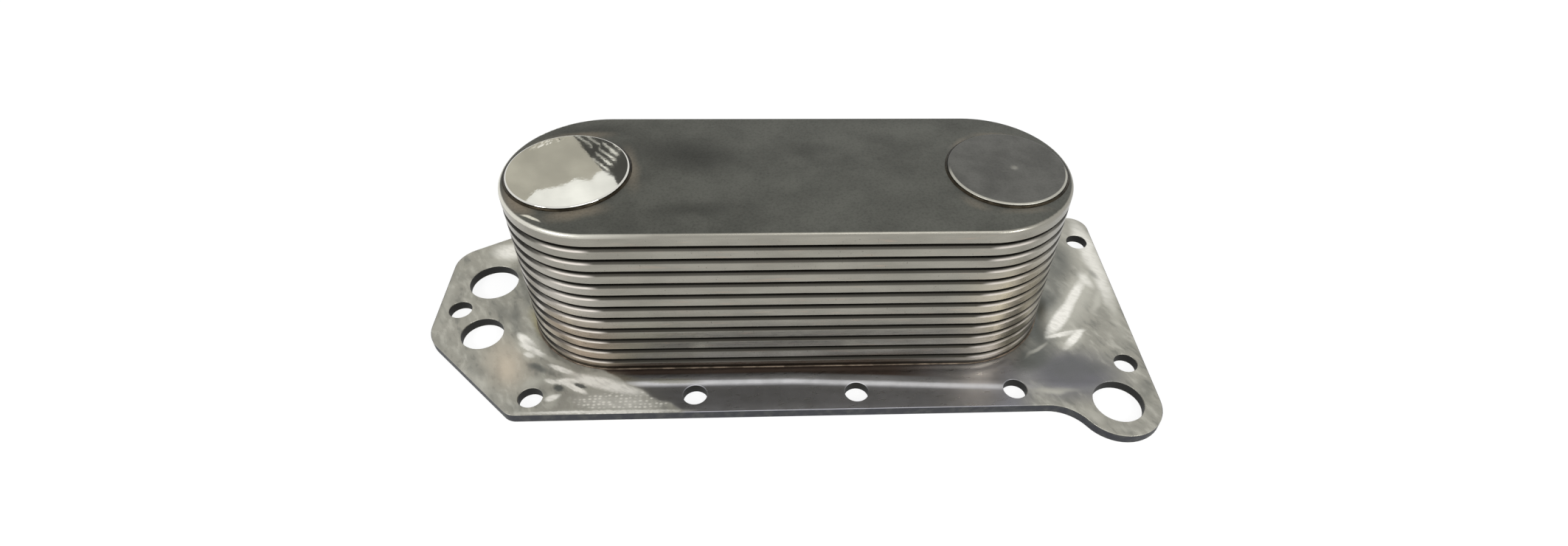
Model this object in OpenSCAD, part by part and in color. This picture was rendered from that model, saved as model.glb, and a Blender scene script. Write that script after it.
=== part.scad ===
// Plate-type engine oil cooler: a brazed stack of flat oil elements on a base plate.
// Millimetres. The origin is on the underside of the base plate, at the middle of the stack.
// +X runs along the stack, +Y to its back edge, +Z up through the elements.

/* [Core stack] */
// Number of oil elements in the stack
element_count = 12; // [2:1:19]
// Overall length of an element
core_l = 203.4; // [180:0.2:240]
// Overall width of an element, which is also twice its end radius
core_w = 69.6; // [60:0.2:80]
// Height of one element
element_h = 4.35; // [3.8:0.05:6]
// Coolant gap between two elements
coolant_gap = 1.2; // [0.8:0.1:2]
// Sheet of the pressed shells
shell_sheet = 0.6; // [0.4:0.05:0.8]
// Heavier sheet of the top shell, which closes the stack
top_sheet = 1; // [0.7:0.05:1.2]
// Outer bend radius along the upper edge of a shell
shell_bend_r = 1.3; // [1.25:0.05:1.6]
// Outer bend radius along the lower edge of a lower shell
tray_bend_r = 1; // [0.85:0.05:1.2]
// Braze film between a lower shell and the skirt around it
braze_film = 0.05; // [0.02:0.01:0.1]

/* [Oil ports] */
// From the end of an element to the middle of the oil gallery beside it
port_inset = 23.7; // [23.4:0.1:30]
// Bore of an oil gallery
port_d = 30; // [24:0.5:32]
// Width of the flat seat on top of a pressed collar
collar_seat_w = 2.5; // [1.5:0.1:3]
// Width of the sloped wall of a pressed collar
collar_slope_w = 2.6; // [2:0.1:3]

/* [Caps] */
// Diameter of a gallery cap
cap_d = 43; // [41:0.5:44]
// How far a cap stands above the top shell
cap_t = 1.1; // [0.8:0.1:1.6]
// Rounding of a cap's upper edge
cap_edge_r = 0.7; // [0.3:0.1:0.75]
// Radial clearance between a cap's plug and the gallery
cap_plug_gap = 0.3; // [0.2:0.05:0.5]
// Diameter of the tack mark on the right cap
tack_d = 2; // [1:0.2:3]
// Depth of the tack mark
tack_depth = 0.25; // [0.1:0.05:0.4]
// How far the tack mark lies outwards of the cap's middle
tack_offset = 2; // [0:0.5:6]

/* [Turbulators] */
// Sheet of the corrugated turbulator
fin_sheet = 0.3; // [0.2:0.05:0.4]
// Pitch of the corrugations
fin_pitch = 4; // [3.4:0.1:6]
// Sideways lean of each corrugation's web
fin_lean = 0.5; // [0.2:0.1:0.8]
// Clearance between the turbulator and the shell walls beside it
fin_side_gap = 0.6; // [0.3:0.1:2]
// Clearance around a collar where the turbulator is notched
fin_port_gap = 1.4; // [0.5:0.1:4]

/* [Base plate] */
// Thickness of the base plate
plate_t = 4; // [3:0.5:8]
// How far the plate reaches past the left end of the stack
left_margin = 39.5; // [36:0.5:60]
// How far it reaches past the right end
right_margin = 36; // [34:0.5:60]
// How far it reaches past the back of the stack
back_margin = 18.2; // [16:0.2:30]
// How far it reaches past the front of the stack
front_margin = 21; // [17:0.5:30]
// Length along X of the slanted back left corner
back_cut_x = 38.7; // [30:0.1:44]
// Length along Y of the slanted back left corner
back_cut_y = 22.4; // [16:0.1:24]
// Length of the 45 degree cut on the front left corner
front_cut = 38.6; // [32:0.1:40]
// Rounding where the slanted corner meets the back edge
back_cut_r = 10; // [2:1:20]
// Rounding where the slanted corner meets the left edge
left_back_r = 12; // [4:1:16]
// Rounding where the 45 degree cut meets the left edge
left_front_r = 15; // [4:1:20]
// Rounding where the 45 degree cut meets the front edge
front_left_r = 6; // [2:1:12]
// Rounding of the back right corner
back_right_r = 8; // [3:1:14]

/* [Front lobe] */
// Outer radius of the lobe on the front right corner
lobe_r = 16; // [13:0.5:18]
// How far the lobe's centre lies inside the front edge
lobe_inset = 1.2; // [0:0.2:6]
// Concave rounding between the lobe and the front edge
lobe_fillet_r = 16; // [8:1:20]
// Hole through the lobe
lobe_hole_d = 19; // [14:0.5:20]

/* [Bolt holes] */
// Diameter of every bolt hole
bolt_d = 9; // [6.6:0.2:10]
// From the left edge to the first hole of the front and back rows
row_left_edge = 45.2; // [43:0.1:60]
// From the right edge to the last hole of those rows
row_right_edge = 53.7; // [51:0.1:65]
// From a long edge to the row of holes beside it
bolt_edge = 8; // [6:0.5:10]
// From the right edge to the two holes beside it
right_bolt_edge = 7.5; // [6.5:0.5:10]
// Distance between those two holes
right_bolt_span = 72; // [60:1:76]
// From the left edge to the single hole beside it
left_bolt_edge = 8.7; // [7:0.1:10]
// Y of that hole
left_bolt_y = -2; // [-3:0.5:-1]

/* [Passages] */
// Diameter of the back passage at the left end
back_passage_d = 19.5; // [14:0.5:20]
// From the left edge to its centre
back_passage_edge = 18.5; // [17:0.5:22]
// Y of its centre
back_passage_y = 14; // [13:0.5:17]
// Diameter of the front passage at the left end
front_passage_d = 16.2; // [12:0.2:17]
// From the left edge to its centre
front_passage_edge = 20.4; // [18:0.2:24]
// Y of its centre
front_passage_y = -15.3; // [-18:0.1:-14.8]

/* [Hidden] */
$fn = 96;
cut_over = 1;
row_bolts = 4;
core_r = core_w / 2;
core_end_x = core_l / 2 - core_r;
port_x = core_l / 2 - port_inset;
port_r = port_d / 2;
pitch = element_h + coolant_gap;
fin_h = element_h - 2 * shell_sheet;
top_h = fin_h + shell_sheet + top_sheet;
top_z = plate_t + (element_count - 1) * pitch + top_h;
collar_r = port_r + collar_seat_w + collar_slope_w;
tray_wall_h = element_h - shell_bend_r - braze_film;
plate_left = core_l / 2 + left_margin;
plate_right = core_l / 2 + right_margin;
plate_back = core_r + back_margin;
plate_front = core_r + front_margin;
lobe_x = plate_right - lobe_r;
lobe_y = lobe_inset - plate_front;
row_from = row_left_edge - plate_left;
row_to = plate_right - row_right_edge;
bolt_pitch = (row_to - row_from) / (row_bolts - 1);
front_row_y = bolt_edge - plate_front;
back_row_y = plate_back - bolt_edge;

function element_z(i) = plate_t + (i - 1) * pitch;
function is_top(i) = i == element_count;
function skirt_sheet(i) = is_top(i) ? top_sheet : shell_sheet;
function pad2(i) = i < 10 ? str("0", i) : str(i);

// Half section from the middle line out to r, with its upper outer corner rounded.
module rounded_section(r, h, bend) {
    difference() {
        square([r, h]);
        translate([r - bend, h - bend]) difference() {
            square(bend + cut_over);
            circle(r = bend);
        }
    }
}

// Section of a pressed tray that is open at its lower side.
module tray_section(r, h, sheet, bend) {
    difference() {
        rounded_section(r, h, bend);
        translate([-cut_over, -cut_over])
            rounded_section(r - sheet + cut_over, h - sheet + cut_over, bend - sheet);
    }
}

// Carries a half section once round the straight sides and round ends of an element.
module round_the_core() {
    for (side = [0, 1]) {
        rotate([0, 0, 180 * side]) {
            rotate([90, 0, 90]) linear_extrude(2 * core_end_x, center = true) children();
            translate([core_end_x, 0, 0]) rotate([0, 0, -90]) rotate_extrude(angle = 180) children();
        }
    }
}

module at_ports() {
    for (side = [-1, 1]) translate([side * port_x, 0, 0]) children();
}

// Slope of a pressed collar, from below the sheet's surface at z = 0 up to its flat seat.
module collar_slope(below) {
    spread = collar_slope_w / coolant_gap;
    translate([0, 0, -below])
        cylinder(r1 = collar_r + below * spread, r2 = collar_r - collar_slope_w, h = coolant_gap + below);
}

module upper_shell(i) {
    sheet = skirt_sheet(i);
    h = is_top(i) ? top_h : element_h;
    bend = shell_bend_r + sheet - shell_sheet;
    color("silver") translate([0, 0, element_z(i)]) difference() {
        union() {
            round_the_core() tray_section(core_r, h, sheet, bend);
            if (!is_top(i)) at_ports() translate([0, 0, h]) collar_slope(sheet / 2);
        }
        if (!is_top(i)) at_ports() translate([0, 0, h - sheet]) collar_slope(sheet / 2);
        at_ports() cylinder(r = port_r, h = h + coolant_gap + cut_over);
    }
}

module lower_shell(i) {
    r = core_r - skirt_sheet(i) - braze_film;
    color("darkgray") translate([0, 0, element_z(i)]) difference() {
        translate([0, 0, tray_wall_h]) mirror([0, 0, 1])
            round_the_core() tray_section(r, tray_wall_h, shell_sheet, tray_bend_r);
        at_ports() translate([0, 0, -cut_over])
            cylinder(r = port_r, h = shell_sheet + 2 * cut_over);
    }
}

// Corners of the corrugated sheet's section, moved off its middle line by d. Each wave has a low
// flat, a web, a high flat and a web, and both ends of the sheet are low flats.
function fin_corners(waves, d) = let (
    half = fin_pitch / 2,
    along = [fin_lean / 2, half - fin_lean / 2, half + fin_lean / 2, fin_pitch - fin_lean / 2],
    turn = [1, -1, -1, 1],
    last = len(along) * waves + 1,
    miter = tan(atan2(fin_h - fin_sheet, fin_lean) / 2)
) [
    for (j = [0:last]) let (
        step = j % len(along),
        wave = floor(j / len(along)),
        bend = j == 0 || j == last ? 0 : turn[step],
        low = step < 2
    ) [
        wave * fin_pitch + along[step] + bend * d * miter,
        (low ? fin_sheet / 2 : fin_h - fin_sheet / 2) + d
    ]
];

module turbulator(i) {
    room = 2 * (core_r - top_sheet - braze_film - shell_sheet - fin_side_gap);
    half = fin_pitch / 2;
    waves = floor((room - half) / fin_pitch);
    upper = fin_corners(waves, fin_sheet / 2);
    lower = fin_corners(waves, -fin_sheet / 2);
    last = len(lower) - 1;
    color("burlywood") translate([0, 0, element_z(i) + shell_sheet]) difference() {
        rotate([90, 0, 90]) linear_extrude(2 * core_end_x, center = true)
            translate([-(waves * fin_pitch + half) / 2, 0])
                polygon(concat(upper, [for (j = [last:-1:0]) lower[j]]));
        at_ports() translate([0, 0, -cut_over])
            cylinder(r = collar_r + fin_port_gap, h = fin_h + 2 * cut_over);
    }
}

// Disc that closes a gallery, with a plug that centres it in the top shell.
module cap_body() {
    rotate_extrude() union() {
        rounded_section(cap_d / 2, cap_t, cap_edge_r);
        translate([0, -top_sheet]) square([port_r - cap_plug_gap, top_sheet + cap_t / 2]);
    }
}

module left_cap() {
    color("lightgray") translate([-port_x, 0, top_z]) cap_body();
}

module right_cap() {
    tack_r = (tack_d * tack_d / 4 + tack_depth * tack_depth) / (2 * tack_depth);
    color("darkgray") translate([port_x, 0, top_z]) difference() {
        cap_body();
        translate([tack_offset, 0, cap_t + tack_r - tack_depth]) sphere(r = tack_r);
    }
}

function unit(v) = v / norm(v);
// Where a rounding of radius r at corner b starts on the edge to a, the other edge going to c.
function corner_in(a, b, c, r) =
    b + unit(a - b) * r / tan(acos(unit(a - b) * unit(c - b)) / 2);
// Centre of that rounding.
function corner_centre(a, b, c, r) =
    b + unit(unit(a - b) + unit(c - b)) * r / sin(acos(unit(a - b) * unit(c - b)) / 2);

// Convex corners of the plate, each with its rounding, in order from the back right.
function plate_corners() = [
    [[plate_right, plate_back], back_right_r],
    [[back_cut_x - plate_left, plate_back], back_cut_r],
    [[-plate_left, plate_back - back_cut_y], left_back_r],
    [[-plate_left, front_cut - plate_front], left_front_r],
    [[front_cut - plate_left, -plate_front], front_left_r]
];

module plate_outline() {
    corners = plate_corners();
    fillet_y = -plate_front - lobe_fillet_r;
    fillet_x = lobe_x - sqrt(pow(lobe_r + lobe_fillet_r, 2) - pow(lobe_y - fillet_y, 2));
    fillet_c = [fillet_x, fillet_y];
    lobe_c = [lobe_x, lobe_y];
    meet = fillet_c + unit(lobe_c - fillet_c) * lobe_fillet_r;
    lobe_side = [plate_right, lobe_y];
    fillet_side = [fillet_x, -plate_front];
    path = concat([lobe_side], [for (c = corners) c[0]], [fillet_side]);
    count = len(corners);
    cut = [for (k = [1:count]) let (r = corners[k - 1][1]) each [
        corner_in(path[k - 1], path[k], path[k + 1], r),
        corner_in(path[k + 1], path[k], path[k - 1], r)
    ]];
    difference() {
        union() {
            polygon(concat([lobe_side], cut, [fillet_side, meet, lobe_c]));
            for (k = [1:count]) let (r = corners[k - 1][1])
                translate(corner_centre(path[k - 1], path[k], path[k + 1], r)) circle(r = r);
            translate(lobe_c) circle(r = lobe_r);
        }
        translate(fillet_c) circle(r = lobe_fillet_r);
    }
}

module plate_hole(x, y, d) {
    translate([x, y, -cut_over]) cylinder(d = d, h = plate_t + 2 * cut_over);
}

module base_plate() {
    color("gray") difference() {
        linear_extrude(plate_t) plate_outline();
        for (k = [0:row_bolts - 1]) for (y = [front_row_y, back_row_y])
            plate_hole(row_from + k * bolt_pitch, y, bolt_d);
        for (side = [-1, 1]) plate_hole(plate_right - right_bolt_edge, side * right_bolt_span / 2, bolt_d);
        plate_hole(left_bolt_edge - plate_left, left_bolt_y, bolt_d);
        plate_hole(back_passage_edge - plate_left, back_passage_y, back_passage_d);
        plate_hole(front_passage_edge - plate_left, front_passage_y, front_passage_d);
        plate_hole(lobe_x, lobe_y, lobe_hole_d);
        for (side = [-1, 1]) plate_hole(side * port_x, 0, port_d);
    }
}

base_plate();
for (i = [1:element_count]) {
    lower_shell(i);
    turbulator(i);
    upper_shell(i);
}
left_cap();
right_cap();
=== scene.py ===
"""Finishes, broken edges and braze for a plate-type engine oil cooler, and the studio round it."""
import math

import bmesh
import bpy
from bpy.props import FloatProperty, FloatVectorProperty, IntProperty, PointerProperty
from mathutils import Matrix, Vector, noise


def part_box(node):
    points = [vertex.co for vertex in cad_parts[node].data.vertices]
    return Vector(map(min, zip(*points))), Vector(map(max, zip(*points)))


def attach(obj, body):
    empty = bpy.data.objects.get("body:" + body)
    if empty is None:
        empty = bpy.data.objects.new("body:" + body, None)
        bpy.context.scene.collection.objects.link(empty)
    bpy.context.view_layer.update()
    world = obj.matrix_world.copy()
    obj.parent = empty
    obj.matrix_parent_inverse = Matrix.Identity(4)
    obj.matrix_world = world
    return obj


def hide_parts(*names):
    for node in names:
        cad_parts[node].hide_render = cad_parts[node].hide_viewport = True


bl_info = {
    "name": "Oil cooler finishes",
    "version": (1, 0, 0),
    "blender": (4, 5, 0),
    "location": "3D View > Sidebar > Oil cooler",
    "description": "Worn steel, broken edges and braze for a plate-type engine oil cooler",
    "category": "Object",
}

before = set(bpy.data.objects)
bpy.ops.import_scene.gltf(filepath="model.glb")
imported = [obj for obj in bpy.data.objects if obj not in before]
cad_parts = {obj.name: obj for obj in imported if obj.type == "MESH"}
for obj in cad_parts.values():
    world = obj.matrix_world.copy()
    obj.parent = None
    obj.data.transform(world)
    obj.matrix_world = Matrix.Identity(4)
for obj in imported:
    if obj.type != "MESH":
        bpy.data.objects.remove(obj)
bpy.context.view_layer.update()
MM = 0.001
MERGE = 0.001 * MM
FLAT_ANGLE = math.radians(0.5)
SHARP_ANGLE = math.radians(35)
BODY = "root"
SHELLS = sorted(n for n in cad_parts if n.startswith("upper_shell_"))
TRAYS = sorted(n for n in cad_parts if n.startswith("lower_shell_"))
TURBULATORS = sorted(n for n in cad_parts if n.startswith("turbulator_"))
TOP_SHELL = SHELLS[-1]

CORE_LOW, CORE_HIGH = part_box(TOP_SHELL)
CORE_R = (CORE_HIGH.y - CORE_LOW.y) / 2
CORE_END_X = CORE_HIGH.x - CORE_R
TOP_Z = CORE_HIGH.z
PLATE_LOW, PLATE_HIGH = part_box("base_plate")
PLATE_Z = PLATE_HIGH.z
LID_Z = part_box(SHELLS[0])[0].z
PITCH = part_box(SHELLS[1])[0].z - LID_Z
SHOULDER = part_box(TRAYS[0])[1].z - LID_Z
WALL = "wall"


def size(name, default, description, low=0.0, high=1.0):
    return FloatProperty(name=name, description=description, default=default, min=low, max=high, unit="LENGTH")


def share(name, default, description, low=0.0, high=1.0):
    return FloatProperty(name=name, description=description, default=default, min=low, max=high)


def tint(name, default, description):
    return FloatVectorProperty(
        name=name, description=description, default=default, size=3, min=0.0, max=1.0, subtype="COLOR"
    )


class PlateSettings(bpy.types.PropertyGroup):
    edge_break: size("Edge break", 0.35 * MM, "Rounding of the plate's edges and hole rims")
    front: tint("Front steel", (0.36, 0.36, 0.39), "Smooth steel along the front of the plate")
    ends: tint("Ground steel", (0.345, 0.335, 0.29), "Ground steel at the plate's ends")
    # Buffed smears, whose light colour is partly a painted reflection of the lamps
    bright: tint("Buffed steel", (0.97, 0.95, 0.88), "Bright buffed smears")
    light: tint("Light steel", (0.50, 0.49, 0.43), "Soft light patches")
    # Dark patches; those beside the stack are a painted reflection of the stack
    shade: tint("Shaded steel", (0.12, 0.125, 0.115), "Soft dark patches")
    tan: tint("Tan stain", (0.60, 0.52, 0.41), "Warm stain at the left end")
    gold: tint("Gold stain", (0.27, 0.24, 0.12), "Heat stain beside the stack")
    olive: tint("Olive stain", (0.050, 0.046, 0.033), "Dark stain close to the ends of the stack")
    # Dark violet colour before the right end: a painted reflection of the stack's right end
    violet: tint("Violet steel", (0.118, 0.115, 0.122), "Smooth patch before the right end")
    # Reddish heat tint, darkened partly as a painted reflection of the stack's dark lowest band
    foot: tint("Heat tint", (0.125, 0.092, 0.080), "Reddish tint at the foot of the stack")
    wall: tint("Side faces", (0.050, 0.052, 0.060), "Cut side faces of the plate")
    # Near-black painted shade on the walls of the holes
    painted_hole_shade: tint("Hole walls", (0.012, 0.012, 0.010), "Oily walls of the holes")


class ShellSettings(bpy.types.PropertyGroup):
    wave_up: size("Rim wave", 0.16 * MM, "How far a skirt's lower edge wanders upwards")
    wave_side: size("Wall wave", 0.05 * MM, "How far a skirt wanders inwards")
    step: size("Wave step", 5 * MM, "Distance between the cuts that let a straight skirt wander")
    rim_break: size("Rim break", 0.12 * MM, "Rounding of a skirt's lower edge")
    skirt: tint("Skirt steel", (0.295, 0.283, 0.245), "Pressed steel on the sides of the stack")
    copper: tint("Copper stain", (0.44, 0.345, 0.28), "Stain where braze has run")
    # Dark specks and smears, and the painted shade on the shoulders below the gaps and at the foot of the stack
    soot_and_gap_shade: tint("Gap soot", (0.026, 0.023, 0.017), "Dark film on the shoulders below each gap")
    # Painted shade inside the gaps
    painted_gap_shade: tint("Inside of a gap", (0.008, 0.007, 0.005), "Nearly black film inside the gaps")
    top: tint("Top sheet", (0.100, 0.101, 0.088), "Dull top of the stack")
    # Painted highlight on the top's rim
    rim: tint("Worn rim", (0.46, 0.45, 0.40), "Bright worn edge round the top")
    # Heat stain low at the right end, painted lighter as light on the curve
    gold: tint("Gold stain", (0.62, 0.55, 0.43), "Heat stain low at the right end")
    # Painted light on the lower bands at the left end
    pale: tint("Pale steel", (0.70, 0.66, 0.61), "Lighter steel low at the left end")
    # Painted highlight on the shoulders where the stack starts to curve
    glint: tint("Shoulder glint", (0.93, 0.86, 0.79), "Worn shoulders where the stack starts to curve")
    halo: tint("Heat halo", (0.225, 0.195, 0.150), "Lighter ring that brazing left round a cap")


class CapSettings(bpy.types.PropertyGroup):
    seam: size("Braze seam", 0.8 * MM, "Width of the braze at a cap's foot")
    polished: tint("Polished cap", (0.68, 0.67, 0.62), "Mirror finish of the left cap")
    # Painted highlight on the small dents along the left cap's rim
    painted_glint: tint("Worn dents", (0.98, 0.93, 0.83), "Bright dents along the far left rim of the left cap")
    matt: tint("Matt cap", (0.115, 0.114, 0.104), "Dull finish of the right cap")
    # Painted highlight on the right cap's front rim
    rim: tint("Worn rim", (0.42, 0.41, 0.36), "Bright front rim of the right cap")


class BrazeSettings(bpy.types.PropertyGroup):
    foot: size("Foot bead", 0.5 * MM, "Width of the braze bead at the foot of the stack")
    colour: tint("Braze", (0.12, 0.095, 0.072), "Dull golden braze")
    seam: tint("Seam", (0.030, 0.025, 0.017), "Dark braze round the caps")


class StudioSettings(bpy.types.PropertyGroup):
    lens: FloatProperty(name="Lens", description="Focal length in millimetres on a 36 mm sensor", default=18.889)
    azimuth: FloatProperty(
        name="Azimuth", description="How far the view turns from +Y towards +X", default=math.radians(4.075), subtype="ANGLE"
    )
    elevation: FloatProperty(
        name="Elevation", description="How far the view looks down", default=math.radians(45.453), subtype="ANGLE"
    )
    roll: FloatProperty(
        name="Roll", description="How far the camera is turned about its view", default=math.radians(-2.148), subtype="ANGLE"
    )
    place: FloatVectorProperty(
        name="Camera place", description="Where the camera stands", default=(-0.00637, -0.24021, 0.24393), size=3,
        unit="LENGTH", precision=5,
    )
    shift: FloatVectorProperty(
        name="Shift", description="Shift of the picture across the lens, as shares of its width", default=(-0.0199, 0.0233),
        size=2, precision=4,
    )
    floor_glow: share("Floor glow", 0.84, "Light that the floor shows of itself to camera and reflections", 0, 1)
    ambient: share("Ambient", 0.55, "Light from the world on rough surfaces", 0, 5)


class CoolerSettings(bpy.types.PropertyGroup):
    plate: PointerProperty(type=PlateSettings)
    shell: PointerProperty(type=ShellSettings)
    cap: PointerProperty(type=CapSettings)
    braze: PointerProperty(type=BrazeSettings)
    studio: PointerProperty(type=StudioSettings)


class Paint:
    """A node tree under construction. Lengths inside it are millimetres of the object's own space."""

    def __init__(self, name):
        self.material = bpy.data.materials.new(name)
        self.material.use_nodes = True
        self.tree = self.material.node_tree
        self.tree.nodes.clear()
        place = self.tree.nodes.new("ShaderNodeTexCoord")
        grow = self.tree.nodes.new("ShaderNodeVectorMath")
        grow.operation = "SCALE"
        grow.inputs["Scale"].default_value = 1 / MM
        self.tree.links.new(place.outputs["Object"], grow.inputs[0])
        self.point = grow.outputs[0]

    def put(self, socket, value):
        if isinstance(value, bpy.types.NodeSocket):
            self.tree.links.new(value, socket)
        elif socket.type == "RGBA":
            socket.default_value = (*tuple(value)[:3], 1)
        else:
            socket.default_value = value

    def add(self, kind, settings=None, **inputs):
        made = self.tree.nodes.new(kind)
        for key, value in (settings or {}).items():
            setattr(made, key, value)
        for key, value in inputs.items():
            self.put(made.inputs[key.replace("_", " ")], value)
        return made

    def math(self, operation, a, b=0.0):
        made = self.add("ShaderNodeMath", {"operation": operation})
        self.put(made.inputs[0], a)
        self.put(made.inputs[1], b)
        return made.outputs[0]

    def split(self, vector=None):
        made = self.add("ShaderNodeSeparateXYZ")
        self.put(made.inputs[0], vector or self.point)
        return made.outputs

    def ramp(self, value, low, high, to_low=0.0, to_high=1.0):
        made = self.add("ShaderNodeMapRange", {"interpolation_type": "SMOOTHSTEP"})
        for key, item in (("Value", value), ("From Min", low), ("From Max", high), ("To Min", to_low), ("To Max", to_high)):
            self.put(made.inputs[key], item)
        return made.outputs[0]

    def grain(self, scale, detail=3.0, stretch=(1, 1, 1), where=None, rough=0.5, turn=0.0):
        """Noise between 0 and 1. The scale is per millimetre, and stretch lengthens the grain."""
        fit = self.add("ShaderNodeMapping", {"vector_type": "TEXTURE"})
        self.put(fit.inputs["Vector"], where or self.point)
        fit.inputs["Rotation"].default_value = (0, 0, turn)
        fit.inputs["Scale"].default_value = stretch
        made = self.add("ShaderNodeTexNoise", Scale=scale, Detail=detail, Roughness=rough)
        self.put(made.inputs["Vector"], fit.outputs[0])
        return made.outputs["Fac"]

    def wander(self, reach, scale):
        """The place, moved about by a smooth noise."""
        made = self.add("ShaderNodeTexNoise", Scale=scale, Detail=2.0)
        self.put(made.inputs["Vector"], self.point)
        centre = self.add("ShaderNodeVectorMath", {"operation": "SUBTRACT"})
        self.put(centre.inputs[0], made.outputs["Color"])
        centre.inputs[1].default_value = (0.5, 0.5, 0.5)
        grow = self.add("ShaderNodeVectorMath", {"operation": "SCALE"})
        self.put(grow.inputs[0], centre.outputs[0])
        grow.inputs["Scale"].default_value = 2 * reach
        total = self.add("ShaderNodeVectorMath", {"operation": "ADD"})
        self.put(total.inputs[0], self.point)
        self.put(total.inputs[1], grow.outputs[0])
        return total.outputs[0]

    def patch(self, where, centre, half_length, half_width, turn=0.0, edge=0.6):
        """One at an elongated patch's middle, falling smoothly to zero at its rim. The turn is in radians."""
        fit = self.add("ShaderNodeMapping", {"vector_type": "TEXTURE"})
        self.put(fit.inputs["Vector"], where)
        fit.inputs["Location"].default_value = (*centre, 0)
        fit.inputs["Rotation"].default_value = (0, 0, turn)
        fit.inputs["Scale"].default_value = (half_length, half_width, 1000)
        made = self.add("ShaderNodeTexGradient", {"gradient_type": "SPHERICAL"})
        self.put(made.inputs["Vector"], fit.outputs[0])
        return self.ramp(made.outputs["Fac"], 0.0, edge)

    def stroke(self, where, start, end, half_width, edge):
        """A patch drawn from start to end."""
        run = (end[0] - start[0], end[1] - start[1])
        centre = ((start[0] + end[0]) / 2, (start[1] + end[1]) / 2)
        return self.patch(where, centre, math.hypot(*run) / 2, half_width, math.atan2(run[1], run[0]), edge)

    def away(self, centre_x, straight=0.0, where=None):
        """Distance from a point on the X axis, or from a straight stretch either side of it."""
        x, y, _ = self.split(where)
        along = self.math("ABSOLUTE", self.math("SUBTRACT", x, centre_x))
        along = self.math("MAXIMUM", self.math("SUBTRACT", along, straight), 0.0)
        total = self.math("ADD", self.math("MULTIPLY", along, along), self.math("MULTIPLY", y, y))
        return self.math("SQRT", total)

    def stops(self, value, low, high, colours):
        """Colours along a value, given as places and colours."""
        made = self.add("ShaderNodeValToRGB")
        self.put(made.inputs[0], self.add("ShaderNodeMapRange", Value=value, From_Min=low, From_Max=high).outputs[0])
        marks = made.color_ramp.elements
        for place, colour in colours[2:]:
            marks.new((place - low) / (high - low))
        for mark, (place, colour) in zip(marks, sorted(colours)):
            mark.position = (place - low) / (high - low)
            mark.color = (*colour, 1)
        return made.outputs["Color"]

    def mix(self, amount, a, b):
        made = self.add("ShaderNodeMix", {"data_type": "RGBA"})
        self.put(made.inputs[0], amount)
        self.put(made.inputs[6], a)
        self.put(made.inputs[7], b)
        return made.outputs[2]

    def blend(self, amount, a, b):
        made = self.add("ShaderNodeMix", {"data_type": "FLOAT"})
        self.put(made.inputs[0], amount)
        self.put(made.inputs[2], a)
        self.put(made.inputs[3], b)
        return made.outputs[0]

    def bump(self, height, depth, strength=1.0, normal=None):
        """Bump whose full height is depth metres."""
        made = self.add("ShaderNodeBump", Strength=strength, Distance=depth, Height=height)
        if normal:
            self.put(made.inputs["Normal"], normal)
        return made.outputs[0]

    def steel(self, colour, roughness, normal=None, metallic=1.0, **fixed):
        shader = self.add("ShaderNodeBsdfPrincipled")
        self.put(shader.inputs["Base Color"], colour)
        self.put(shader.inputs["Roughness"], roughness)
        self.put(shader.inputs["Metallic"], metallic)
        for key, value in fixed.items():
            self.put(shader.inputs[key.replace("_", " ")], value)
        if normal:
            self.put(shader.inputs["Normal"], normal)
        out = self.add("ShaderNodeOutputMaterial")
        self.tree.links.new(shader.outputs[0], out.inputs[0])
        return self.material


def merged_copy(node):
    """A bmesh copy of a CAD node with its triangles merged into whole faces."""
    bm = bmesh.new()
    bm.from_mesh(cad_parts[node].data)
    bmesh.ops.remove_doubles(bm, verts=bm.verts, dist=MERGE)
    bmesh.ops.dissolve_limit(bm, angle_limit=FLAT_ANGLE, verts=bm.verts, edges=bm.edges)
    return bm


def piece(name, bm, material, replaced=()):
    """Makes the bmesh a finished piece that rides with the cooler."""
    mesh = bpy.data.meshes.new(name)
    bm.to_mesh(mesh)
    bm.free()
    for spare in [a for a in mesh.attributes if a.name == "custom_normal"]:
        mesh.attributes.remove(spare)
    mesh.polygons.foreach_set("use_smooth", [True] * len(mesh.polygons))
    mesh.set_sharp_from_angle(angle=SHARP_ANGLE)
    mesh.materials.clear()
    mesh.materials.append(material)
    made = bpy.data.objects.new(name, mesh)
    bpy.context.scene.collection.objects.link(made)
    even = made.modifiers.new("even_normals", "WEIGHTED_NORMAL")
    even.keep_sharp = True
    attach(made, BODY)
    if replaced:
        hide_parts(*replaced)
    return made


def finish_node(node, material):
    """Gives a CAD node that stays in view its finish."""
    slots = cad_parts[node].material_slots
    for each in slots:
        each.material = material


def break_edges(bm, width, chosen, segments=3):
    """Rounds the chosen edges."""
    bmesh.ops.bevel(
        bm, geom=chosen, offset=width, offset_type="OFFSET", segments=segments, profile=0.5,
        affect="EDGES", clamp_overlap=True, material=-1,
    )


def corner_edges(bm):
    right_angle = math.radians(60)
    return [e for e in bm.edges if len(e.link_faces) == 2 and e.calc_face_angle(0) > right_angle]


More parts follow.
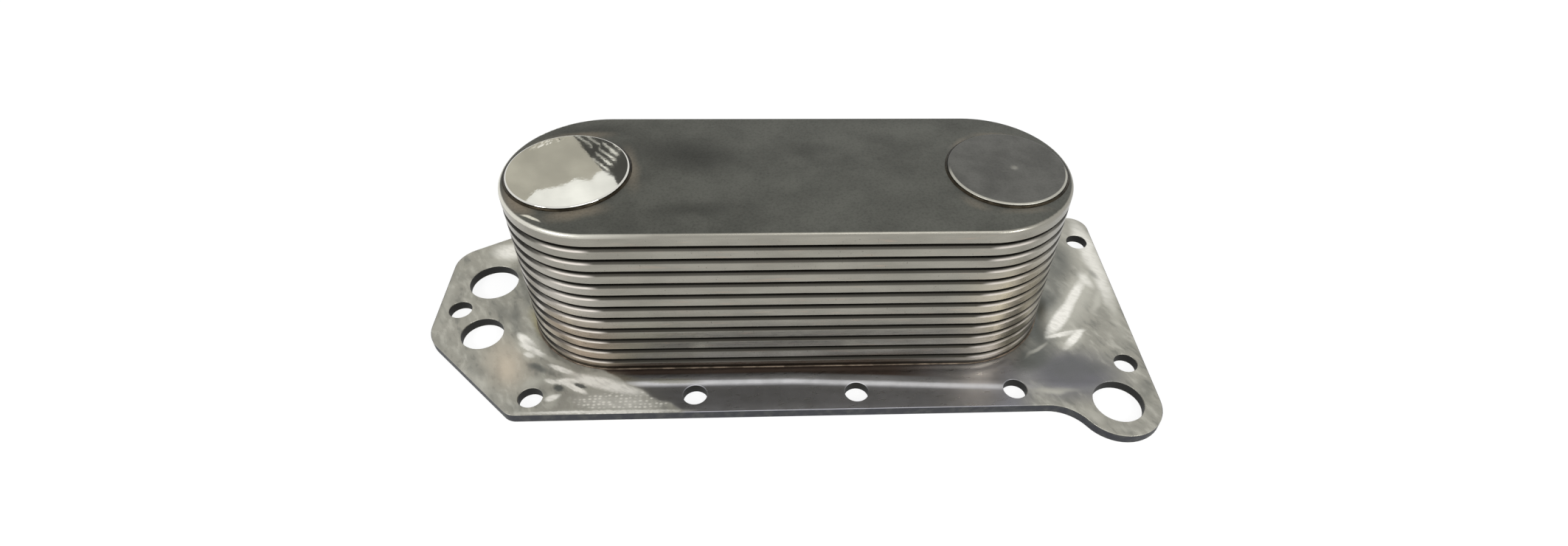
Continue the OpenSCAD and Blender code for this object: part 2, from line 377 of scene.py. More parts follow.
PLATE_MARKS = [
    # Tone, start and end in millimetres, half width, softness, strength. Soft stains and soft patches first. The light
    # and bright patches are partly painted reflections of the lamps, and the shade patches beside the stack are a
    # painted reflection of the dark stack.
    ("light", (-136, 38), (-114, 24), 8, 0.9, 0.4),
    ("bright", (-130, 36), (-111, 29), 6.5, 0.8, 0.9),
    ("light", (-139, 22), (-139, -22), 3, 0.9, 0.4),
    ("light", (-128, -28), (-106, -50), 4, 0.9, 0.45),
    ("shade", (-124, 4), (-106, -12), 5, 0.9, 0.45),
    ("shade", (-115, 26), (-104, -6), 3, 0.9, 0.55),
    ("shade", (-111, 3), (-108, -12), 3.5, 0.9, 0.5),
    ("gold", (-105, 2), (-94, -24), 4, 0.9, 0.8),
    ("olive", (-101, -11), (-87, -29.5), 2.8, 0.9, 0.8),
    ("tan", (-118, -12), (-98, -50), 12, 1.0, 0.6),
    ("tan", (-112, -24), (-104, -44), 5, 1.0, 0.5),
    ("shade", (-112, -4), (-104, -22), 3, 1.0, 0.5),
    ("shade", (-122, -30), (-112, -40), 4, 1.0, 0.3),
    ("light", (-102, -44), (-90, -38), 4, 0.9, 0.6),
    ("shade", (-104, -50), (-96, -55), 3, 0.9, 0.35),
    ("bright", (-86, -48), (-40, -53.5), 6, 0.9, 0.45),
    # Dark patches round the right end of the stack: a painted reflection of the stack
    ("shade", (126, 42), (110, 2), 9, 0.8, 0.7),
    ("shade", (118, 18), (90, -42), 12, 0.75, 0.85),
    ("shade", (107, 12), (100, -24), 5, 0.8, 1.0),
    ("olive", (107, 4), (98, -27), 4.0, 0.8, 0.85),
    ("light", (131, 22), (116, -12), 6, 0.9, 0.5),
    ("shade", (84, -40), (104, -27), 7, 0.7, 0.85),
    ("shade", (88, -41), (126, -35), 9, 0.8, 0.45),
    ("shade", (100, -4), (98, -30), 5, 0.8, 0.6),
    ("shade", (124, -34), (112, -42), 5, 1.0, 0.4),
    ("light", (130, 12), (112, -20), 7, 0.9, 0.6),
    ("bright", (133, 58), (134, 4), 5.5, 0.8, 0.75),
    ("bright", (134.5, 30), (133.5, -12), 4.5, 0.8, 0.7),
    ("light", (136, 14), (132, -30), 4, 0.9, 0.5),
    ("shade", (129, 19), (134.5, 9), 2.2, 0.9, 0.5),
    ("shade", (134, -42), (132, -58), 4, 0.9, 0.4),
    ("light", (106, -57), (114, -66), 3.5, 0.9, 0.5),
    ("light", (115, -66), (126, -68), 2.2, 0.9, 0.4),
    ("light", (86, -48.4), (110, -49.2), 2.4, 0.9, 0.8),
    # Buffed smears at the left end; their light colour is partly a painted reflection of the lamps
    ("bright", (-108, -14.5), (-97, -26), 2.3, 0.5, 1.0),
    ("bright", (-106.5, -20), (-92.5, -29), 1.7, 0.5, 1.0),
    ("light", (-99, -25.5), (-82, -34.6), 1.5, 0.7, 0.9),
    ("bright", (-103.5, -25.5), (-97.5, -28.5), 1.5, 0.7, 0.8),
    ("shade", (-102, -31), (-90, -36.5), 2.0, 0.8, 0.85),
    ("bright", (-93.5, -31.4), (-79, -38.3), 1.5, 0.5, 1.0),
    ("light", (-86, -36.2), (-52, -41.2), 2.4, 0.7, 1.0),
    ("light", (-60, -40.6), (-30, -41.8), 1.8, 0.7, 0.8),
    ("bright", (-87.5, -36.4), (-51, -48.0), 3.4, 0.5, 1.0),
    ("bright", (-90, -40.2), (-77, -41.0), 2.2, 0.5, 1.0),
    ("bright", (-86, -40.4), (-74.5, -47.2), 1.5, 0.5, 1.0),
    ("bright", (-93, -39.2), (-86.5, -41.6), 1.4, 0.6, 0.8),
    ("shade", (-89.0, -42.2), (-83.8, -45.0), 2.0, 0.6, 1.0),
    ("shade", (-81.6, -41.2), (-75.6, -44.2), 1.1, 0.5, 0.95),
    ("bright", (-91.2, -49.7), (-84.6, -46.5), 1.9, 0.6, 0.95),
    ("bright", (-104, -54.9), (-30, -55.1), 1.0, 0.6, 0.9),
    # Buffed smears at the right end; their light colour is partly a painted reflection of the lamps
    ("bright", (131, 18), (109, -14), 2.8, 0.7, 0.95),
    ("bright", (120, 1), (101, -24), 3.6, 0.55, 1.0),
    ("bright", (100.5, -22.3), (120.5, -17.9), 1.5, 0.5, 0.95),
    ("bright", (119.4, -16.6), (106.5, -29.6), 2.2, 0.6, 1.0),
    ("light", (104, -24), (112, -28), 2.5, 0.9, 0.7),
    ("light", (90, -33), (104, -23.0), 1.3, 0.8, 0.6),
    ("light", (133, 8), (123.5, -12), 2.4, 0.9, 0.9),
    ("bright", (125.4, 18), (128.8, 4), 3.0, 0.8, 0.6),
]


def plate_steel(plate):
    """Ground plate: smooth along the front, lighter and smeared at both ends, with painted reflections of the stack and
    of the lamps in its colour.
    """
    p = Paint("plate_steel")
    x, y, z = p.split()
    soft = p.wander(1.8, 0.11)
    fine = p.wander(0.45, 0.8)
    sx, sy, _ = p.split(soft)
    # The slanted edge of this mask follows the edge of the stack's mirror image in the plate
    slant = p.math("ADD", p.math("ADD", sy, 35.0), p.math("MULTIPLY", p.math("ADD", sx, 72.0), 0.633))
    left = p.math("MAXIMUM", p.ramp(slant, 1.0, -1.0), p.ramp(sx, -76, -84))
    # Smoother patch before the right end, kept out of the light ends so that the dark violet front shows there as a
    # painted reflection of the stack's right end
    smooth = p.patch(soft, (107, -41), 27, 18, edge=0.7)
    right = p.math("MULTIPLY", p.ramp(sx, 80, 96), p.math("SUBTRACT", 1.0, smooth))
    ends = p.math("MAXIMUM", p.math("MAXIMUM", left, right), p.ramp(sy, 20, 32))

    # Along the front the colour paints the mirrored stack: dim bands for its dark reflection and a lit line as a
    # painted highlight
    run = p.math("ADD", y, p.math("MULTIPLY", p.math("MAXIMUM", x, 0.0), 0.057))
    dim = [c * 0.80 for c in plate.front]
    rise = [c * 1.5 for c in plate.front]
    lit = [min(1.0, c * 2.7) for c in plate.front]
    # Heat tint at the foot of the stack, darkened partly as a painted reflection of the dark lowest band
    foot = p.mix(p.ramp(x, 35, 72), plate.foot, plate.front)
    front = p.stops(run, -58, -34, [
        (-58, plate.front), (-34, dim), (-38.0, dim), (-39.2, plate.front), (-40.6, rise), (-41.7, lit), (-42.6, lit),
        (-44.0, plate.front), (-46, dim), (-52, dim), (-55, plate.front),
    ])
    front = p.mix(p.ramp(run, -38.8, -37.4), front, foot)
    # Towards the right the front turns dark violet, a painted reflection of the stack's right end
    fade = p.math("MULTIPLY", p.ramp(x, 70, 100), 0.8)
    front = p.mix(p.ramp(x, 45, 80, 0.0, 0.35), front, plate.front)
    front = p.mix(fade, front, plate.violet)
    colour = p.mix(ends, front, plate.ends)
    colour = p.mix(p.ramp(p.grain(0.13, 4), 0.35, 0.68, 0.0, 0.4), colour, p.mix(0.5, colour, plate.shade))
    swirl = p.grain(0.4, 4, stretch=(1, 3, 1), turn=0.5, where=soft)
    colour = p.mix(p.math("MULTIPLY", p.ramp(swirl, 0.5, 0.72, 0.0, 0.65), ends), colour, plate.light)
    colour = p.mix(p.math("MULTIPLY", p.ramp(swirl, 0.46, 0.30, 0.0, 0.45), ends), colour, plate.shade)

    scatter = p.math("MULTIPLY", p.ramp(run, -44.8, -42.6), p.ramp(run, -40.4, -41.8))
    scatter = p.math("MULTIPLY", scatter, p.math("SUBTRACT", p.ramp(x, -10, 60, 0.95, 0.7), ends))
    scatter = p.math("MAXIMUM", scatter, p.math("MULTIPLY", left, p.ramp(x, -104, -70, 0.0, 0.85)))
    brushed = p.ramp(p.grain(0.9, 3, stretch=(3, 1, 1), turn=-0.6), 0.3, 0.6, 0.7, 1.0)
    beside = p.ramp(p.math("ABSOLUTE", x), 98, 106, 1.0, 0.3)
    for tone, start, end, half_width, softness, strength in PLATE_MARKS:
        if tone == "bright":
            # A wider, fainter painted glare round each buffed smear
            glow = p.math("MULTIPLY", p.stroke(fine, start, end, half_width * 2.6, 1.0), strength)
            colour = p.mix(glow, colour, plate.light)
        mark = p.stroke(soft if softness > 0.7 else fine, start, end, half_width, softness)
        mark = p.math("MULTIPLY", mark, p.math("MULTIPLY", brushed, strength) if tone == "bright" else strength)
        colour = p.mix(mark, colour, getattr(plate, tone))
        if tone == "bright":
            scatter = p.math("MAXIMUM", scatter, p.math("MULTIPLY", mark, beside))

    dots = p.add("ShaderNodeTexVoronoi", {"feature": "F1"}, Scale=0.75, Randomness=0.4)
    squeeze = p.add("ShaderNodeMapping", {"vector_type": "TEXTURE"})
    p.put(squeeze.inputs["Vector"], p.point)
    squeeze.inputs["Scale"].default_value = (1.4, 1, 1)
    p.put(dots.inputs["Vector"], squeeze.outputs[0])
    knurl = p.math("MAXIMUM", p.patch(soft, (-60, -50), 22, 4.6, edge=0.3), p.patch(soft, (132, -8), 6, 20, edge=0.8))
    knurl = p.math("MULTIPLY", knurl, p.ramp(slant, 1.0, -1.0))
    pale = p.math("MULTIPLY", p.ramp(dots.outputs["Distance"], 0.5, 0.1), knurl)
    colour = p.mix(p.math("MULTIPLY", pale, 0.75), colour, plate.bright)

    kind = p.add("ShaderNodeAttribute", {"attribute_name": WALL}).outputs["Fac"]
    colour = p.mix(p.ramp(kind, 0.0, 0.5), colour, p.mix(p.ramp(p.grain(0.3, 4), 0.4, 0.7, 0.0, 0.5), plate.wall, plate.shade))
    # Painted shade on the walls of the holes
    colour = p.mix(p.ramp(kind, 0.5, 1.0), colour, plate.painted_hole_shade)

    streak = p.grain(1.1, 4, stretch=(5, 1, 1), turn=0.15)
    roughness = p.blend(scatter, p.ramp(streak, 0.3, 0.7, 0.27, 0.36), 0.62)
    side = p.ramp(kind, 0.1, 0.4)
    metal = p.math("MULTIPLY", p.blend(scatter, 1.0, 0.25), p.math("SUBTRACT", 1.0, side))
    roughness = p.math("MAXIMUM", roughness, p.math("MULTIPLY", side, 0.6))
    normal = p.bump(p.grain(0.07, 1), 0.08 * MM)
    normal = p.bump(p.math("MULTIPLY", dots.outputs["Distance"], knurl), 0.05 * MM, normal=normal)
    return p.steel(colour, roughness, p.bump(streak, 0.008 * MM, normal=normal), metal, Specular_IOR_Level=0.3)


def skirt_layers(p, shell):
    """Colour, level and height of the pressed bands round the stack."""
    x, y, z = p.split()
    height = p.math("SUBTRACT", z, LID_Z / MM)
    level = p.math("DIVIDE", height, PITCH / MM)
    cloud = p.grain(0.05, 4, stretch=(1, 1, 0.35))
    colour = p.mix(p.ramp(cloud, 0.3, 0.7), [c * 0.92 for c in shell.skirt], [c * 1.12 for c in shell.skirt])
    stain = p.grain(0.11, 5, stretch=(1.5, 1.5, 0.12), rough=0.62)
    colour = p.mix(p.ramp(stain, 0.56, 0.78, 0.0, 0.6), colour, shell.copper)
    # Gold heat stain with painted light low at the right end, painted light low at the left end, and a copper stain
    for centre, reach, low, high, tone in (
        ((80, -32), 26, 34, 56, shell.gold), ((-88, -24), 30, 30, 56, shell.pale), ((-76, -30), 20, 12, 34, shell.copper),
    ):
        stain_and_painted_light = p.math("MULTIPLY", p.patch(p.point, centre, reach, reach, edge=1.0), p.ramp(height, high, low, 0.0, 0.8))
        colour = p.mix(stain_and_painted_light, colour, tone)
    smear = p.math("MULTIPLY", p.patch(p.wander(2.0, 0.3), (86, -29), 8, 8, edge=0.8), p.ramp(height, 24, 17, 0.0, 0.2))
    colour = p.mix(p.math("MULTIPLY", smear, p.ramp(height, 6, 11)), colour, shell.soot_and_gap_shade)
    # Painted shade: the bands darken towards the right end
    colour = p.mix(p.ramp(x, 88, 97, 0.0, 0.4), colour, [c * 0.35 for c in shell.skirt])
    speck = p.grain(1.6, 2, stretch=(1, 1, 1.4))
    colour = p.mix(p.ramp(speck, 0.68, 0.78, 0.0, 0.5), colour, shell.soot_and_gap_shade)
    return colour, level, height


def skirt_finish(p):
    line = p.grain(2.0, 3, stretch=(9, 9, 1))
    normal = p.bump(p.grain(0.18, 2, stretch=(1, 1, 0.6)), 0.05 * MM)
    return p.ramp(line, 0.3, 0.7, 0.25, 0.36), p.bump(line, 0.006 * MM, normal=normal)


def skirt_steel(shell):
    """Pressed band, with painted shade on the shoulder below the gap and inside the gap."""
    p = Paint("skirt_steel")
    x, y, z = p.split()
    colour, level, height = skirt_layers(p, shell)
    # Painted shade at the foot of the lowest band, where it meets the plate
    foot = p.ramp(height, 2.1, 1.3)
    colour = p.mix(p.math("MULTIPLY", foot, 0.85), colour, shell.soot_and_gap_shade)
    rise = p.math("MODULO", p.math("ADD", height, 0.02), PITCH / MM)
    # Painted shade on each shoulder below a gap, stronger in the middle and lower down
    shoulder_shade = p.ramp(rise, SHOULDER / MM + 0.05, SHOULDER / MM + 0.7)
    ends = p.ramp(p.math("ABSOLUTE", x), 66, 84, 1.0, 0.6)
    colour = p.mix(p.math("MULTIPLY", shoulder_shade, p.math("MULTIPLY", ends, p.ramp(level, 11, 3, 0.74, 0.93))), colour, shell.soot_and_gap_shade)
    # Painted highlight on the shoulders where the stack curves at both ends, and on the low shoulders at the right end
    turn = p.math("MULTIPLY", p.ramp(p.math("ABSOLUTE", x), 66, 71), p.ramp(p.math("ABSOLUTE", x), 86, 79))
    low_right = p.math("MULTIPLY", p.ramp(x, 83, 88), p.ramp(height, 26, 18, 0.0, 0.95))
    turn = p.math("MAXIMUM", turn, low_right)
    painted_glint = p.math("MULTIPLY", p.ramp(rise, SHOULDER / MM - 0.2, SHOULDER / MM + 0.3), p.ramp(rise, SHOULDER / MM + 1.0, SHOULDER / MM + 0.5))
    colour = p.mix(p.math("MULTIPLY", p.math("MULTIPLY", turn, painted_glint), p.ramp(x, -60, 60, 0.95, 0.7)), colour, shell.glint)
    # Painted shade on the shoulders at the far ends and inside each gap
    outer = p.math("MAXIMUM", p.ramp(x, -82, -92), p.ramp(x, 88, 96, 0.0, 0.85))
    far = p.math("MULTIPLY", outer, p.ramp(rise, SHOULDER / MM - 0.35, SHOULDER / MM + 0.45))
    inside = p.ramp(p.away(0.0, CORE_END_X / MM), CORE_R / MM - 0.25, CORE_R / MM - 0.80)
    inside = p.math("MAXIMUM", inside, p.math("MULTIPLY", far, 0.93))
    colour = p.mix(inside, colour, shell.painted_gap_shade)
    dark = p.math("MAXIMUM", inside, p.math("MULTIPLY", shoulder_shade, 0.6))
    roughness, normal = skirt_finish(p)
    roughness = p.blend(dark, roughness, 0.6)
    return p.steel(colour, roughness, normal, p.math("SUBTRACT", 1.0, dark), Specular_IOR_Level=0.15)


TOP_MARKS = [
    # Tone, start and end in millimetres, half width, softness, strength
    ("dim", (-60, 14), (-8, 6), 15, 1.0, 0.8),
    ("dim", (-96, 22), (-50, 28), 7, 1.0, 0.6),
    ("dim", (-58, -24), (-8, -18), 6, 1.0, 0.55),
    ("dim", (-12, 12), (24, 14), 7, 1.0, 0.35),
    ("clear", (-14, -10), (10, -6), 7, 1.0, 0.3),
    ("clear", (10, 28), (62, 24), 9, 1.0, 0.4),
    ("clear", (20, -6), (56, -14), 14, 1.0, 0.35),
    ("halo", (-60, 20), (-53.5, -16), 4.5, 0.9, 0.7),
    ("halo", (-86, -26), (-58, -19.5), 5.0, 0.9, 0.85),
    ("halo", (-100, -8), (-84, -27), 4.5, 0.9, 1.0),
    ("halo", (-98, 14), (-82, 22), 3, 0.9, 0.6),
    ("halo", (-90, 21), (-62, 23), 4, 0.9, 0.75),
    ("halo", (59, 12), (70, 22), 3.2, 0.9, 0.45),
    ("halo", (66, 21.5), (88, 22.5), 2.8, 0.9, 0.45),
    ("halo", (57, -14), (70, -24), 3.2, 0.9, 0.4),
    ("halo", (68, -25), (92, -22), 2.8, 0.9, 0.4),
    ("shine", (-91, -23), (-82, -27.6), 0.8, 0.5, 1.0),
]


def top_steel(shell):
    """Dull, mottled top with heat halos round the caps and a painted highlight on its rim towards the left end, over
    the same skirt as the other shells.
    """
    p = Paint("top_steel")
    x, y, z = p.split()
    side_colour, level, height = skirt_layers(p, shell)
    tones = {
        "dim": [c * 0.45 for c in shell.top],
        "clear": [c * 1.55 for c in shell.top],
        "halo": shell.halo,
        "shine": [c * 2.6 for c in shell.skirt],
    }
    cloud = p.grain(0.045, 5, rough=0.6)
    colour = p.mix(p.ramp(cloud, 0.3, 0.7), [c * 0.82 for c in shell.top], [c * 1.18 for c in shell.top])
    soft = p.wander(2.5, 0.07)
    for tone, start, end, half_width, softness, strength in TOP_MARKS:
        mark = p.math("MULTIPLY", p.stroke(soft, start, end, half_width, softness), strength)
        colour = p.mix(mark, colour, tones[tone])
    weave = p.grain(1.1, 3, rough=0.7)
    colour = p.mix(p.ramp(weave, 0.4, 0.75, 0.0, 0.4), colour, p.mix(0.6, colour, (0, 0, 0)))
    # Painted highlight on the top's rim, growing towards the left end
    painted_glint = p.mix(p.ramp(x, -40, -80), shell.skirt, [c * 1.4 for c in shell.rim])
    side_colour = p.mix(p.ramp(z, TOP_Z / MM - 1.5, TOP_Z / MM - 0.9), side_colour, painted_glint)
    upper = p.ramp(z, TOP_Z / MM - 0.30, TOP_Z / MM - 0.05)
    # Painted shade inside the gap under the top's rim
    inside = p.ramp(p.away(0.0, CORE_END_X / MM), CORE_R / MM - 0.7, CORE_R / MM - 1.15)
    below = p.math("MULTIPLY", inside, p.ramp(z, TOP_Z / MM - 0.9, TOP_Z / MM - 1.1))
    side_roughness, side_normal = skirt_finish(p)
    all_colour = p.mix(below, p.mix(upper, side_colour, colour), shell.painted_gap_shade)
    all_roughness = p.blend(upper, side_roughness, 0.42)
    normal = p.bump(p.math("MULTIPLY", weave, upper), 0.03 * MM, normal=side_normal)
    return p.steel(all_colour, all_roughness, normal)


def cap_polish(cap):
    """Mirror-like cap with a row of small dents along its far left rim, whose light colour is a painted highlight."""
    p = Paint("polished_cap")
    low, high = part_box("left_cap")
    middle = (low.x + high.x) / 2 / MM
    radius = (high.y - low.y) / 2 / MM
    haze = p.grain(0.10, 3)
    colour = p.mix(p.ramp(haze, 0.3, 0.7, 0.0, 0.4), cap.polished, [c * 0.88 for c in cap.polished])
    rim = p.ramp(p.away(middle, where=p.wander(0.5, 0.6)), radius - 4.2, radius - 2.6)
    # Small dents along the far left rim; their light colour is a painted highlight
    dented = p.math("MULTIPLY", rim, p.patch(p.point, (middle - 9.5, 15.0), 9, 5, turn=math.radians(32), edge=0.8))
    dents = p.ramp(p.grain(1.0, 1, stretch=(1, 2.5, 1), turn=math.radians(-25)), 0.40, 0.68, 0.0, 0.7)
    painted_glint = p.math("MULTIPLY", dented, dents)
    colour = p.mix(painted_glint, colour, cap.painted_glint)
    roughness = p.blend(painted_glint, p.ramp(haze, 0.3, 0.7, 0.015, 0.035), 0.3)
    normal = p.bump(p.grain(0.16, 1), 0.006 * MM)
    normal = p.bump(p.grain(0.9, 2), 0.0015 * MM, normal=normal)
    normal = p.bump(painted_glint, 0.05 * MM, normal=normal)
    return p.steel(colour, roughness, normal)


def cap_matt(cap):
    """Dull cap with a painted highlight on its front rim and a light tack mark."""
    p = Paint("matt_cap")
    low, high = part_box("right_cap")
    middle = (low.x + high.x) / 2 / MM
    radius = (high.y - low.y) / 2 / MM
    x, y, z = p.split()
    cloud = p.grain(0.09, 5, rough=0.6)
    colour = p.mix(p.ramp(cloud, 0.35, 0.65), [c * 0.85 for c in cap.matt], [c * 1.15 for c in cap.matt])
    weave = p.grain(1.1, 3, rough=0.7)
    colour = p.mix(p.ramp(weave, 0.4, 0.8, 0.0, 0.35), colour, p.mix(0.6, colour, (0, 0, 0)))
    # Painted highlight on the front half of the rim
    rim = p.math("MULTIPLY", p.ramp(p.away(middle), radius - 1.1, radius - 0.7), p.ramp(y, 2, -5))
    colour = p.mix(rim, colour, cap.rim)
    tack = p.patch(p.point, (middle + 2.5, -0.3), 2.0, 2.0, edge=1.0)
    colour = p.mix(p.math("MULTIPLY", tack, 0.5), colour, cap.rim)
    return p.steel(colour, 0.40, p.bump(weave, 0.02 * MM))


def braze_metal(name, tone):
    p = Paint(name)
    cloud = p.grain(0.25, 4)
    colour = p.mix(p.ramp(cloud, 0.35, 0.65), [c * 0.6 for c in tone], [c * 1.4 for c in tone])
    return p.steel(colour, 0.34, p.bump(p.grain(0.8, 3), 0.12 * MM))


def plain_steel(name, colour, roughness):
    """Finish of the pieces that hardly show: the trays and the turbulators."""
    p = Paint(name)
    cloud = p.grain(0.08, 4)
    shade = p.mix(p.ramp(cloud, 0.3, 0.7), [c * 0.7 for c in colour], [c * 1.2 for c in colour])
    line = p.grain(1.5, 3, stretch=(6, 6, 1))
    return p.steel(shade, roughness, p.bump(line, 0.01 * MM))


class CoolerOperator:
    """Shared options of the operators."""

    bl_options = {"REGISTER", "UNDO"}


class OBJECT_OT_cooler_plate(CoolerOperator, bpy.types.Operator):
    """Base plate with broken edges and a ground, buffed face"""

    bl_idname = "object.cooler_plate"
    bl_label = "Base plate"

    def execute(self, context):
        plate = context.scene.cooler.plate
        bm = merged_copy("base_plate")
        break_edges(bm, plate.edge_break, corner_edges(bm))
        self.mark_walls(bm)
        piece("ground_plate", bm, plate_steel(plate), ["base_plate"])
        return {"FINISHED"}

    def mark_walls(self, bm):
        """Marks the outer side faces with a half and the walls of the holes with one."""
        layer = bm.faces.layers.float.new(WALL)
        left = {f for f in bm.faces if abs(f.normal.z) < 0.1}
        while left:
            island = set()
            queue = [left.pop()]
            while queue:
                face = queue.pop()
                island.add(face)
                for other in {o for e in face.edges for o in e.link_faces} & left:
                    left.discard(other)
                    queue.append(other)
            reach = [v.co.x for f in island for v in f.verts]
            outer = max(reach) - min(reach) > (PLATE_HIGH.x - PLATE_LOW.x) / 2
            for face in island:
                face[layer] = 0.5 if outer else 1.0
        for face in bm.faces:
            x = face.calc_center_median().x
            edge = x < PLATE_LOW.x + 2 * MM or x > PLATE_HIGH.x - 2 * MM
            if edge and 0.1 < face.normal.z < 0.99 and abs(face.normal.x) > 0.2:
                face[layer] = 0.38


class OBJECT_OT_cooler_shells(CoolerOperator, bpy.types.Operator):
    """Twelve pressed upper shells whose skirts wander a little, as pressed sheet does"""

    bl_idname = "object.cooler_shells"
    bl_label = "Upper shells"

    def execute(self, context):
        shell = context.scene.cooler.shell
        skirt = skirt_steel(shell)
        top = top_steel(shell)
        for number, node in enumerate(SHELLS, 1):
            bm = self.wavy_shell(node, number, shell)
            last = node == TOP_SHELL
            name = "pressed_lid_%02d" % number
            piece(name, bm, top if last else skirt, [node])
        return {"FINISHED"}

    def wavy_shell(self, node, number, shell):
        bm = merged_copy(node)
        low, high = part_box(node)
        wall = CORE_R - 2.5 * MM
        rim = [e for e in bm.edges if all(abs(v.co.z - low.z) < MERGE and outward(v.co) > CORE_R - 0.05 * MM for v in e.verts)]
        break_edges(bm, shell.rim_break, rim, segments=2)
        cuts = int(2 * CORE_END_X / shell.step)
        for k in range(1, cuts):
            x = -CORE_END_X + 2 * CORE_END_X * k / cuts
            faces = [f for f in bm.faces if all(outward(v.co) > wall for v in f.verts)]
            edges = list({e for f in faces for e in f.edges})
            verts = list({v for f in faces for v in f.verts})
            bmesh.ops.bisect_plane(bm, geom=verts + edges + faces, dist=MERGE, plane_co=(x, 0, 0), plane_no=(1, 0, 0))
        first = number == 1
        for v in bm.verts:
            far = outward(v.co)
            if far < wall:
                continue
            place = Vector((v.co.x, v.co.y, number * 0.05)) / (24 * MM)
            side = noise.noise(place) * 0.5 + 0.5
            rise = noise.noise(place * 2.3 + Vector((7, 0, 0))) * 0.5 + 0.5
            share_down = max(0.0, 1 - (v.co.z - low.z) / (2 * MM))
            inward = -shell.wave_side * side
            core = Vector((max(-CORE_END_X, min(CORE_END_X, v.co.x)), 0, 0))
            flat = Vector((v.co.x, v.co.y, 0)) - core
            v.co += flat.normalized() * inward
            if not first:
                v.co.z += shell.wave_up * rise * share_down
        return bm


def outward(place):
    """Distance from the middle line of the stack, which every element's outline follows."""
    return math.hypot(max(0.0, abs(place.x) - CORE_END_X), place.y)


class OBJECT_OT_cooler_inner(CoolerOperator, bpy.types.Operator):
    """Finishes of the trays and turbulators inside the elements"""

    bl_idname = "object.cooler_inner"
    bl_label = "Trays and turbulators"

    def execute(self, context):
        tray = plain_steel("tray_steel", (0.20, 0.175, 0.145), 0.36)
        fin = plain_steel("fin_steel", (0.34, 0.22, 0.13), 0.33)
        for node in TRAYS:
            finish_node(node, tray)
        for node in TURBULATORS:
            finish_node(node, fin)
        return {"FINISHED"}


class OBJECT_OT_cooler_caps(CoolerOperator, bpy.types.Operator):
    """Polished left cap and matt right cap"""

    bl_idname = "object.cooler_caps"
    bl_label = "Caps"

    def execute(self, context):
        cap = context.scene.cooler.cap
        finish_node("left_cap", cap_polish(cap))
        finish_node("right_cap", cap_matt(cap))
        return {"FINISHED"}


def ring_bead(bm, centre, radius, width, steps=96):
    """A quarter-round bead that fills the corner between a wall of that radius and the face it stands on."""
    corners = [Vector((radius, 0, 0)), Vector((radius + width, 0, 0))]
    arc = 5
    for k in range(1, arc):
        turn = math.radians(90) * k / arc
        corners.append(Vector((radius + width - width * math.sin(turn), 0, width - width * math.cos(turn))))
    corners.append(Vector((radius, 0, width)))
    verts = [bm.verts.new(c + centre) for c in corners]
    edges = [bm.edges.new((verts[k], verts[(k + 1) % len(verts)])) for k in range(len(verts))]
    bmesh.ops.spin(
        bm, geom=verts + edges, cent=centre, axis=(0, 0, 1), angle=math.radians(360), steps=steps, use_merge=True
    )
    bmesh.ops.remove_doubles(bm, verts=bm.verts, dist=MERGE)
    bmesh.ops.recalc_face_normals(bm, faces=bm.faces)


class OBJECT_OT_cooler_braze(CoolerOperator, bpy.types.Operator):
    """Braze at the foot of the stack and round both caps"""

    bl_idname = "object.cooler_braze"
    bl_label = "Braze"

    def execute(self, context):
        settings = context.scene.cooler
        seam = braze_metal("seam_braze", settings.braze.seam)
        metal = braze_metal("foot_braze", settings.braze.colour)
        for cap, name in (("left_cap", "left_cap_braze"), ("right_cap", "right_cap_braze")):
            low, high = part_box(cap)
            radius = (high.y - low.y) / 2 - 0.02 * MM
            bm = bmesh.new()
            ring_bead(bm, Vector(((low.x + high.x) / 2, 0, TOP_Z)), radius, settings.cap.seam)
            piece(name, bm, seam)
        bm = bmesh.new()
        ring_bead(bm, Vector((0, 0, PLATE_Z)), CORE_R - 0.06 * MM, settings.braze.foot)
        self.pull_apart(bm)
        piece("foot_braze", bm, metal)
        return {"FINISHED"}

    def pull_apart(self, bm):
        """Draws a round bead out along X to the outline of an element."""
        gap = 0.01 * MM
        for side in (-1, 1):
            geom = bm.verts[:] + bm.edges[:] + bm.faces[:]
            bmesh.ops.bisect_plane(bm, geom=geom, dist=MERGE, plane_co=(side * gap, 0, 0), plane_no=(1, 0, 0))
        for v in bm.verts:
            if abs(v.co.x) > gap / 2:
                v.co.x += math.copysign(CORE_END_X, v.co.x)


def white_to_the_eye(tree, rough_shader, white_shader, output):
    """Camera, glossy and transmission rays see the white shader, all other rays the rough one."""
    rays = tree.nodes.new("ShaderNodeLightPath")
    seen = rays.outputs["Is Camera Ray"]
    for other in ("Is Glossy Ray", "Is Transmission Ray"):
        both = tree.nodes.new("ShaderNodeMath")
        both.operation = "MAXIMUM"
        tree.links.new(seen, both.inputs[0])
        tree.links.new(rays.outputs[other], both.inputs[1])
        seen = both.outputs[0]
    mix = tree.nodes.new("ShaderNodeMixShader")
    tree.links.new(seen, mix.inputs[0])
    tree.links.new(rough_shader, mix.inputs[1])
    tree.links.new(white_shader, mix.inputs[2])
    tree.links.new(mix.outputs[0], output)


BARS = [
    (-0.194, 0.465), (-0.1985, 0.4735), (-0.203, 0.481), (-0.208, 0.4885), (-0.213, 0.496),
    (-0.2285, 0.461), (-0.2195, 0.459),
]


